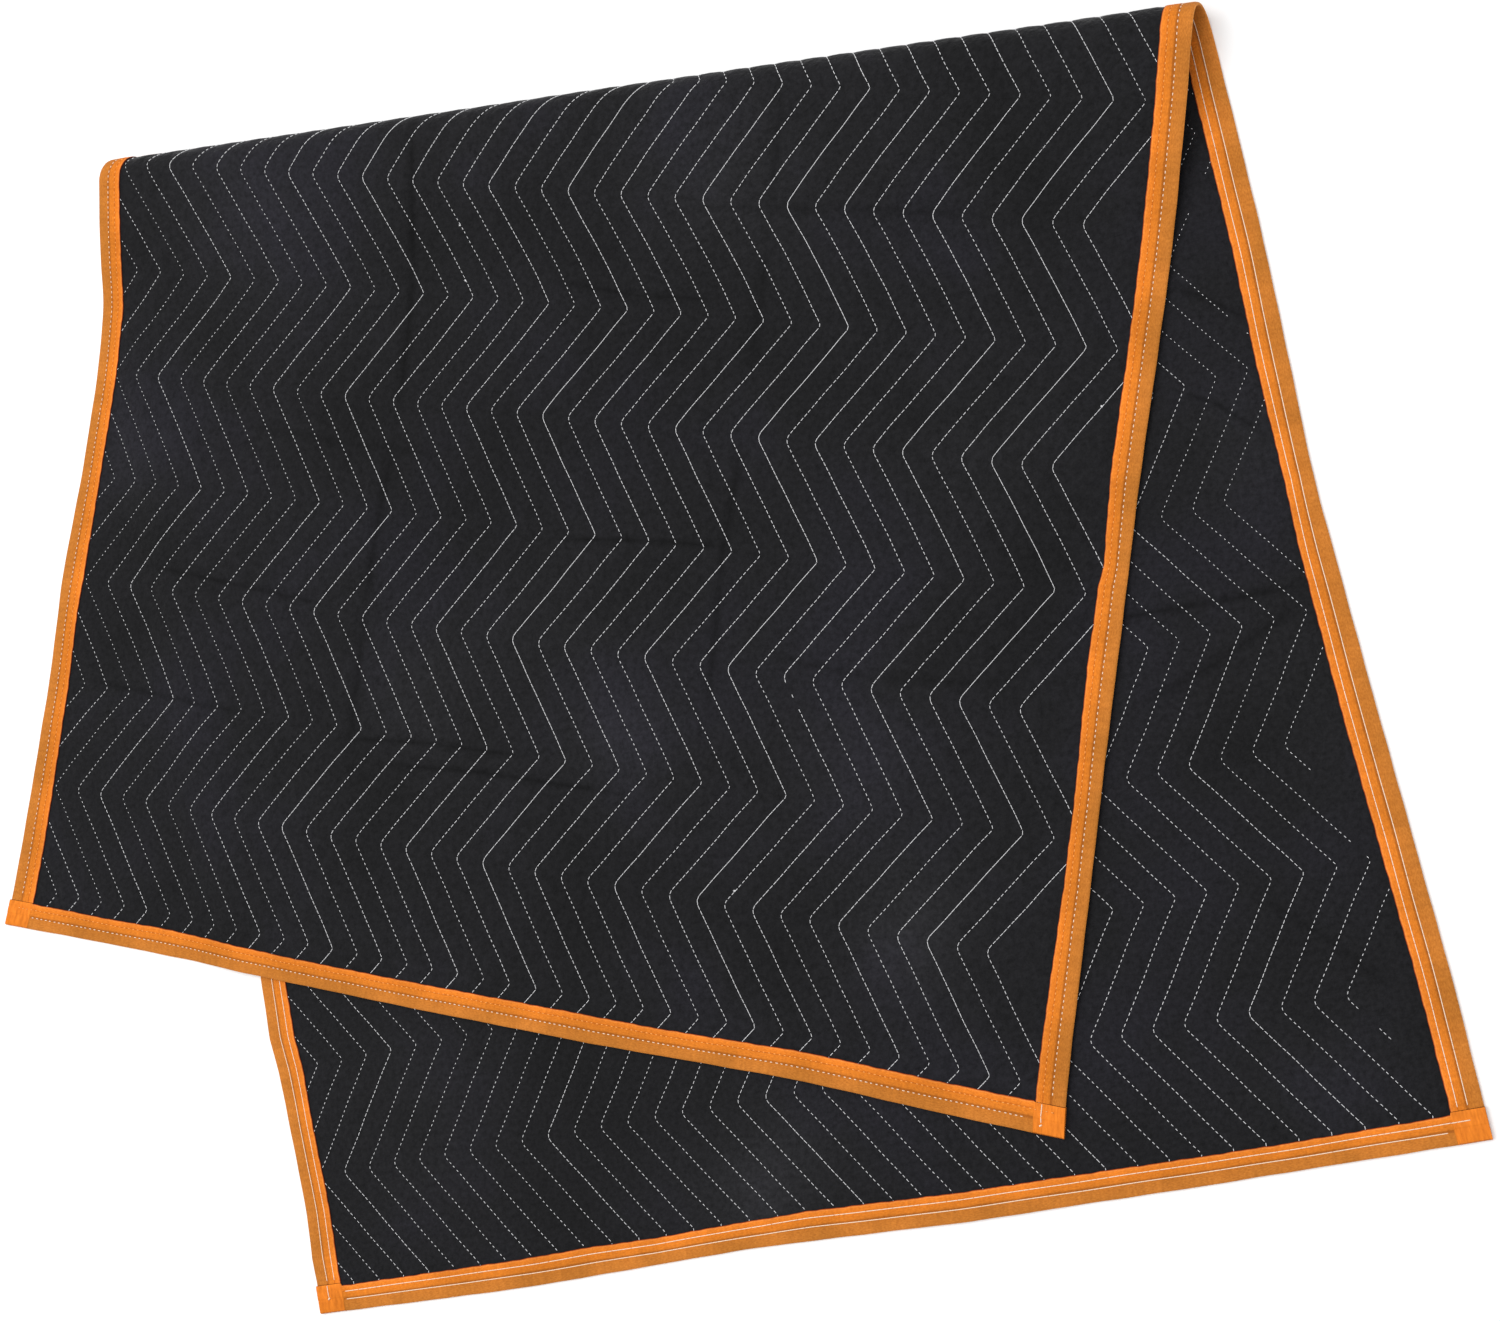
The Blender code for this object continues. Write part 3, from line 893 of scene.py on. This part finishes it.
def quilting_runs(line, face):
    """The stretches of one zigzag line, from under one tape to under the next."""
    inset = TAPE_WIDTH - UNDER_TAPE
    y = np.arange(inset, PAD_LENGTH - inset, PATH_STEP)
    x = line_place(line, y) + LINE_WOBBLE * ripple(y, 0.05, line)
    inside = (x > inset) & (x < PAD_WIDTH - inset)
    breaks = np.flatnonzero(np.diff(inside.astype(int))) + 1
    runs = np.split(np.arange(len(y)), breaks)
    needles, leaning = (TIGHTNESS_A, LEANING_A) if face == FACE_A else (TIGHTNESS_B, 0.0)
    tight = needles[line % len(needles)] + TIGHTNESS_WANDER * ripple(y, 0.31, line)
    tight = tight - spots(SLACK[face], x, y)
    gaps = [(low, high) for on, number, low, high in SKIPPED if (on, number) == (face, line)]
    return [
        stitch_path(x[run], y[run], tight[run], leaning, gaps)
        for run in runs
        if inside[run[0]] and len(run) > SHORTEST_RUN
    ]


def knot(across, along):
    """Three short stitches across each other."""
    for turn in rng.uniform(0, np.pi, 3):
        way = KNOT_REACH * np.array([np.cos(turn), np.sin(turn)])
        steps = np.array([-1, -0.6, 0.6, 1])[:, None] * way
        yield (np.array([across, along]) + steps)[:, :, None]


def knots(lines):
    """The knots near these lines."""
    low, high = (FIRST_LINE + LINE_SPACING * line for line in (lines[0] - 0.5, lines[-1] + 0.5))
    for across, along in MM * np.array(KNOTS):
        if low < across <= high:
            yield from knot(across, along)


quilting = []
for face, letter in ((FACE_A, "a"), (FACE_B, "b")):
    for half, lines in (("left", range(20)), ("right", range(20, LINE_COUNT))):
        stitches = [run for line in lines for run in quilting_runs(line, face)]
        stitches += knots(lines) if face == FACE_A else ()
        thread = thread_body(
            f"quilting_{letter}_{half}", np.concatenate(stitches, axis=2), face,
            HALF_SEAM, QUILT_HALF_WIDTH, QUILT_HEIGHT,
        )
        quilting.append(thread)
        print(thread.name, len(thread.data.polygons), "triangles")

# %% [markdown]
# ## The tape's rows of stitches
#
# Two rows hold each tape. On face B the thread lies tight, in a nearly unbroken line. On
# face A it shows as dots, and the inner row is sewn in orange. Where a row meets a corner
# patch, it stops beside it or runs on over it. The rows share the function that makes the
# quilting, with a thicker thread.

# %% Sew the rows
#   colour, row, tightness
ROWS_ON = {
    FACE_A: (("orange", INNER_ROW, 0.52), ("pale", OUTER_ROW, 0.58)),
    FACE_B: (("pale", INNER_ROW, 1.38), ("pale", OUTER_ROW, 1.50)),
}
ROW_HALF_WIDTH = 0.00050
ROW_STEP, ROW_WOBBLE = 0.002, 0.0003
HEIGHT_UP, HEIGHT_DOWN = 0.00055, 0.00028
PATCH_TOP = 0.00218 + PATCH_DOUBLING
tape_threads = {"pale": [], "orange": []}


def sew_row(tape, place, widths, face, colour, row, tight, ends):
    """One row along a tape. A row on an end tape climbs over its corner patches. Where its
    face is down, the stitches are pressed flatter, and stay clear of what it lies on."""
    length = PAD_LENGTH if place in (on_left, on_right) else PAD_WIDTH
    along = np.arange(ends[0], length - ends[1], ROW_STEP)
    inwards = row * MM * np.interp(along, *zip(*widths)) + ROW_WOBBLE * ripple(along, 0.15, row)
    path = stitch_path(along, inwards, tight)
    x, y = place(path[:, 0], path[:, 1])
    base = np.interp(row, *TAPE_FORM[::-1].T)
    if ends[1] < TAPE_WIDTH:
        middle = path[:, 0].mean(axis=0)
        on_patch = np.minimum(middle, PAD_WIDTH - middle) < TAPE_WIDTH
        base = np.where(on_patch & (face == PATCH_FACE[tape.name]), PATCH_TOP, base)
    side = "a" if face == FACE_A else "b"
    level = "inner" if row == INNER_ROW else "outer"
    past = across_fold(x.mean(axis=0), y.mean(axis=0))[1]
    height = np.where((past > 0) == (face == FACE_A), HEIGHT_UP, HEIGHT_DOWN)
    thread = thread_body(
        f"{tape.name}_{level}_{side}", np.stack([x, y], axis=1), face, base,
        ROW_HALF_WIDTH, height,
    )
    tape_threads[colour].append(thread)


PATCH_FACE = {lower_tape.name: FACE_B, upper_tape.name: FACE_A}
#   how far from the tape's two ends its inner row stops, on a corner patch or beside it
INNER_ROW_ENDS = {lower_tape.name: (CLEAR + 0.001, 0.0085), upper_tape.name: (0.010, 0.005)}
BETWEEN_CORNERS = (CLEAR + 0.001, CLEAR + 0.001)
for tape, place, widths in (
    (left_tape, on_left, LEFT_WIDTHS), (right_tape, on_right, RIGHT_WIDTHS),
    (lower_tape, on_lower, LOWER_WIDTHS), (upper_tape, on_upper, UPPER_WIDTHS),
):
    for face, rows_on_face in ROWS_ON.items():
        for colour, row, tight in rows_on_face:
            ends = BETWEEN_CORNERS
            if row == INNER_ROW:
                ends = INNER_ROW_ENDS.get(tape.name, BETWEEN_CORNERS)
            sew_row(tape, place, widths, face, colour, row, tight, ends)
print(sum(len(group) for group in tape_threads.values()), "rows of stitches on the tapes")

# %% [markdown]
# ## Two rows that run on
#
# At two corners the machine sewed on where the tape was already doubled, so a side row runs
# over the corner patch and ends there in a knot. The row itself could go on, but the patch
# is higher than the tape, so a short piece of thread on top of the patch is simpler.

# %% Run two rows on over the corner patches
#   end tape, its face, where across, and from and to along, from the pad's end
RUN_ONS = (
    (lower_tape, FACE_B, OUTER_ROW * TAPE_WIDTH, 0.0262, 0.0130),
    (upper_tape, FACE_A, PAD_WIDTH - INNER_ROW * TAPE_WIDTH, 0.0262, 0.0075),
)
RUN_ON_POINTS, RUN_ON_TIGHTNESS, RUN_ON_WOBBLE = 12, 1.5, 0.0004
for tape, face, across, *reach in RUN_ONS:
    begin, end = reach if tape == lower_tape else (PAD_LENGTH - place for place in reach)
    along = np.linspace(begin, end, RUN_ON_POINTS)
    path = stitch_path(across + RUN_ON_WOBBLE * ripple(along, 0.02), along, RUN_ON_TIGHTNESS)
    path = np.concatenate([path, *knot(across, end)], axis=2)
    from_end = path[:, 1].mean(axis=0)
    from_end = np.minimum(from_end, PAD_LENGTH - from_end)
    base = np.interp(from_end / TAPE_WIDTH, *TAPE_FORM[::-1].T)
    base = np.maximum(base, PATCH_LEAST) + PATCH_DOUBLING + RIDGE_HEIGHT
    thread = thread_body(f"{tape.name}_run_on", path, face, base, ROW_HALF_WIDTH, HEIGHT_UP)
    tape_threads["pale"].append(thread)
    print(thread.name, path.shape[2], "stitches")

# %% [markdown]
# ## Finishes
#
# Each material is a node tree on Blender's Principled shader. It could be built by hand in
# the shader editor. Small helpers that add a node, link it and set its values make each
# finish below a short recipe instead, which gives the same result each time.

# %% Helpers for finishes


def finish(name, colour, roughness, **sockets):
    """A new material, and its node tree and shader."""
    material = bpy.data.materials.new(name)
    material.use_nodes = True
    tree = material.node_tree
    shader = tree.nodes["Principled BSDF"]
    shader.inputs["Base Color"].default_value = (*colour, 1)
    shader.inputs["Roughness"].default_value = roughness
    for socket, value in sockets.items():
        shader.inputs[socket.replace("_", " ")].default_value = value
    return material, tree, shader


def add(tree, kind, **values):
    """A node with its properties, or its inputs, set by name."""
    node = tree.nodes.new(kind)
    for name, value in values.items():
        if hasattr(node, name):
            setattr(node, name, value)
        else:
            node.inputs[name.replace("_", " ")].default_value = value
    return node


def noise(tree, place, scale, detail=2.0, roughness=0.5, kind="FBM"):
    node = add(
        tree, "ShaderNodeTexNoise", noise_type=kind, Scale=scale, Detail=detail,
        Roughness=roughness,
    )
    tree.links.new(place, node.inputs["Vector"])
    return node.outputs["Fac"]


def ramp(tree, value, *stops):
    """A colour for each stop of a value, as (place, colour)."""
    node = add(tree, "ShaderNodeValToRGB")
    elements = node.color_ramp.elements
    while len(elements) < len(stops):
        elements.new(0.5)
    for element, (place, colour) in zip(elements, stops):
        element.position = place
        element.color = (*colour, 1)
    tree.links.new(value, node.inputs["Fac"])
    return node.outputs["Color"]


def times(tree, left, right):
    """The product of two colours, or of a colour and a number."""
    node = add(tree, "ShaderNodeMix", data_type="RGBA", blend_type="MULTIPLY", clamp_result=False)
    node.inputs["Factor"].default_value = 1.0
    tree.links.new(left, node.inputs["A"])
    tree.links.new(right, node.inputs["B"])
    return node.outputs["Result"]


def stretched(tree, place, along, across):
    """The place, scaled by one number along a tape and another across it."""
    node = add(tree, "ShaderNodeMapping", Scale=(along, across, 1.0))
    tree.links.new(place, node.inputs["Vector"])
    return node.outputs["Vector"]


def bump(tree, shader, *heights):
    """Bumps on a surface, each a height with its distance and strength."""
    normal = None
    for height, distance, strength in heights:
        node = add(tree, "ShaderNodeBump", Strength=strength, Distance=distance)
        tree.links.new(height, node.inputs["Height"])
        if normal is not None:
            tree.links.new(normal, node.inputs["Normal"])
        normal = node.outputs["Normal"]
    tree.links.new(normal, shader.inputs["Normal"])


print("Helpers ready")

# %% [markdown]
# ## Black cloth
#
# The cloth is a thin pressed fabric, matt, and never quite one black: it is a little bluer
# in some patches and greyer in others. A soft noise mixes those tones, the tone that each
# point keeps makes them paler or darker, with painted shade in the creases and a painted
# highlight along the top of the roll, and a fine noise speckles them as pressed fibres do.
# Bumps too small for the mesh rumple, pucker and crinkle the surface between the stitches.

# %% The cloth's finish
cloth_finish, tree, shader = finish(
    "black_cloth", (0.012, 0.012, 0.0135), 0.85, Specular_IOR_Level=0.12,
    Sheen_Weight=0.09, Sheen_Roughness=0.4,
)
place = add(tree, "ShaderNodeTexCoord").outputs["Object"]
mottled = ramp(
    tree, noise(tree, place, 6.0, detail=4.0, roughness=0.55),
    (0.34, (0.0066, 0.0066, 0.0072)),
    (0.50, (0.0085, 0.0084, 0.0095)),
    (0.66, (0.0106, 0.0102, 0.0132)),
)
# The tone carries the painted shade in the creases and the painted highlight along the roll.
tone = add(tree, "ShaderNodeAttribute", attribute_name="tone").outputs["Fac"]
pressed = ramp(
    tree, noise(tree, place, 230.0, detail=4.0, roughness=0.7),
    (0.30, (0.60, 0.60, 0.60)), (0.70, (1.44, 1.44, 1.44)),
)
shade = times(tree, times(tree, mottled, tone), pressed)
tree.links.new(shade, shader.inputs["Base Color"])
rumples = noise(tree, place, 28.0, detail=2.0)
puckers = noise(tree, place, 110.0, detail=3.0, roughness=0.65)
crinkles = noise(tree, place, 55.0, detail=4.0, kind="RIDGED_MULTIFRACTAL")
crumpled = ramp(tree, noise(tree, place, 4.0), (0.40, (0.15, 0.15, 0.15)), (0.62, (1.0, 1.0, 1.0)))
fuzz = noise(tree, place, 800.0, detail=2.0)
bump(
    tree, shader, (rumples, 0.006, 0.40), (puckers, 0.0032, 0.80),
    (times(tree, crinkles, crumpled), 0.0024, 0.90), (fuzz, 0.0004, 0.35),
)
cloth.data.materials.append(cloth_finish)
print(cloth_finish.name, "on", cloth.name)

# %% [markdown]
# ## Orange tape
#
# The tape's colour depends on how many layers there are, so it is read from the share of
# the width that the UV map holds: a thin bright line at the pad's edge, a browner band
# where one layer lies over black cloth, and bright orange where the tape is double. The
# same ramp paints shade: a dark line in the step and the outer row's groove, another in
# the inner row's groove, and a shadow along the inner edge. Noise that is stretched along
# the tape is the grain of its threads, and the puckers' noise paints shade in their troughs.

# %% The tape's finish
tape_finish, tree, shader = finish(
    "orange_tape", (0.70, 0.22, 0.016), 0.75, Specular_IOR_Level=0.12,
)
uv = add(tree, "ShaderNodeUVMap", uv_map="tape").outputs["UV"]
split = add(tree, "ShaderNodeSeparateXYZ")
tree.links.new(uv, split.inputs["Vector"])
# Painted shade: the dark stops from 0.46 to 0.505 and at 0.765 lie in the step and the rows' grooves,
# and those from 0.985 to the inner edge are a painted shadow along it.
layers = ramp(
    tree, split.outputs["Y"],
    (0.0, (0.66, 0.25, 0.045)), (0.04, (0.48, 0.165, 0.024)), (0.425, (0.46, 0.15, 0.018)),
    (0.46, (0.34, 0.1, 0.012)), (0.505, (0.38, 0.11, 0.011)), (0.56, (0.58, 0.168, 0.014)),
    (0.735, (0.6, 0.17, 0.013)), (0.765, (0.44, 0.105, 0.008)), (0.795, (0.64, 0.175, 0.014)),
    (0.925, (0.69, 0.19, 0.017)), (0.96, (0.72, 0.23, 0.04)), (0.985, (0.34, 0.05, 0.006)),
    (1.0, (0.12, 0.018, 0.004)),
)
threads = noise(tree, stretched(tree, uv, 420.0, 22.0), 1.0, detail=3.0, roughness=0.6)
weave = ramp(tree, threads, (0.30, (0.80, 0.76, 0.70)), (0.70, (1.16, 1.18, 1.25)))
place = add(tree, "ShaderNodeTexCoord").outputs["Object"]
# Random paler and darker wear along the tape, with no shade in it.
wear_and_shade = ramp(
    tree, noise(tree, place, 22.0, detail=3.0), (0.35, (0.88, 0.88, 0.82)), (0.65, (1.11, 1.09, 1.12))
)
puckers = noise(tree, stretched(tree, uv, 260.0, 1.6), 1.0, detail=3.0)
# Painted shade in the puckers' troughs, and painted light on their crests, on top of their bump.
pucker_shade = ramp(tree, puckers, (0.35, (0.93, 0.92, 0.90)), (0.65, (1.05, 1.06, 1.08)))
shade = times(tree, times(tree, layers, weave), times(tree, wear_and_shade, pucker_shade))
tree.links.new(shade, shader.inputs["Base Color"])
bump(tree, shader, (puckers, 0.0012, 0.55), (threads, 0.0004, 0.50))
for tape in tapes:
    tape.data.materials.append(tape_finish)
print(tape_finish.name, "on", len(tapes), "tapes")

# %% [markdown]
# ## Thread
#
# The thread is spun and white, with a slight shine. On the tape it looks warmer, for the
# orange shines through it. The orange thread on face A is a shade lighter than the tape,
# and shows mostly by the holes that it is pulled into.

# %% The threads' finishes
for name, colour, threads_of_one in (
    ("white_thread", (0.75, 0.75, 0.76), quilting),
    ("pale_thread", (0.88, 0.68, 0.50), tape_threads["pale"]),
    ("orange_thread", (0.88, 0.37, 0.085), tape_threads["orange"]),
):
    thread_finish = finish(name, colour, 0.6, Specular_IOR_Level=0.3)[0]
    for thread in threads_of_one:
        thread.data.materials.append(thread_finish)
print(len(tape_threads["orange"]), "rows of orange thread, and the rest white")

# %% [markdown]
# ## Put every piece on the pad's body
#
# Every piece rides on the pad's only body. The cloth and the four tapes take the places of
# their CAD solids, which are hidden.

# %% The body, and the hidden CAD solids
for piece in (cloth, *quilting):
    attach(piece, "root")
for piece in (*tapes, *(thread for group in tape_threads.values() for thread in group)):
    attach(piece, "root")
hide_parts("quilted_panel")
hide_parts("side_binding_left")
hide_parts("side_binding_right")
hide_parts("end_binding_lower")
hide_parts("end_binding_upper")
for tape, length in (
    (left_tape, PAD_LENGTH), (right_tape, PAD_LENGTH),
    (lower_tape, PAD_WIDTH), (upper_tape, PAD_WIDTH),
):
    threads = [
        thread for group in tape_threads.values() for thread in group
        if thread.name.startswith(tape.name)
    ]
print("Declared", 1 + len(tapes), "sheets")

# %% [markdown]
# ## The floor
#
# The floor is plain and pale, and so wide that no edge of it shows.

# %% Lay the floor
floor_finish = finish("pale_floor", (0.86, 0.86, 0.86), 0.9, Specular_IOR_Level=0.1)[0]
floor_mesh = bpy.data.meshes.new("floor")
FLOOR_REACH = 12.0
floor_corners = FLOOR_REACH * np.array([(-1, -1, 0), (1, -1, 0), (1, 1, 0), (-1, 1, 0)])
floor_mesh.from_pydata(floor_corners.tolist(), [], [(0, 1, 2, 3)])
floor_mesh.materials.append(floor_finish)
floor = show("floor", floor_mesh)
print("A floor", 2 * FLOOR_REACH, "m wide")

# %% [markdown]
# ## The light
#
# The light comes from a wide soft box high above, a second one from the left, and a pale
# sky, so that shadows are faint and the black stays black. The Standard view shows colours
# as they are, where the usual film-like one would grey the black cloth and dull the orange.

# %% The lights


def standing(place, right, back):
    """Where something stands, with the ways that its right side and its back face."""
    right, back = (np.array(way) / np.linalg.norm(way) for way in (right, back))
    turn = np.column_stack([right, np.cross(back, right), back])
    return Matrix.Translation(place) @ Matrix(turn.tolist()).to_4x4()


def soft_box(name, place, size, power):
    """A square lamp that faces the middle of the pad."""
    lamp = bpy.data.lights.new(name, "AREA")
    lamp.shape = "SQUARE"
    lamp.size = size
    lamp.energy = power
    show(name, lamp).matrix_world = standing(place, np.cross((0, 1, 0), place), place)


soft_box("soft_box_above", (-0.1, 0.4, 3.2), 3.0, 98.0)
soft_box("soft_box_left", (-1.8, 0.6, 2.8), 2.4, 23.0)
world = bpy.data.worlds.new("studio")
world.use_nodes = True
world.node_tree.nodes["Background"].inputs["Color"].default_value = (1.0, 1.0, 1.0, 1)
world.node_tree.nodes["Background"].inputs["Strength"].default_value = 0.55
bpy.context.scene.world = world
bpy.context.scene.view_settings.view_transform = "Standard"
print("Two soft boxes and a pale sky")

# %% [markdown]
# ## The camera
#
# The camera stands where the photograph was taken from: almost above the pad, a little to
# the right and near, with a lens of 53.5 mm on a sensor 36 mm wide. The place and the lens
# were found by fitting the bends of both layers' zigzags, which no turning by eye could do.

# %% Stand the camera
CAMERA_PLACE = (0.7357, -0.2859, 1.7694)
CAMERA_RIGHT = (0.9218, -0.1949, -0.3350)
CAMERA_UP = (0.2240, 0.9733, 0.0501)
SENSOR_MM = 36
LENS_MM = 2230 / 1500 * SENSOR_MM

eye = bpy.data.cameras.new("camera")
eye.lens = LENS_MM
eye.sensor_width = SENSOR_MM
eye.clip_end = 50
camera = show("camera", eye)
camera.matrix_world = standing(CAMERA_PLACE, CAMERA_RIGHT, np.cross(CAMERA_RIGHT, CAMERA_UP))
bpy.context.scene.camera = camera
print(f"A {LENS_MM:.1f} mm lens, {CAMERA_PLACE[2]} m up")
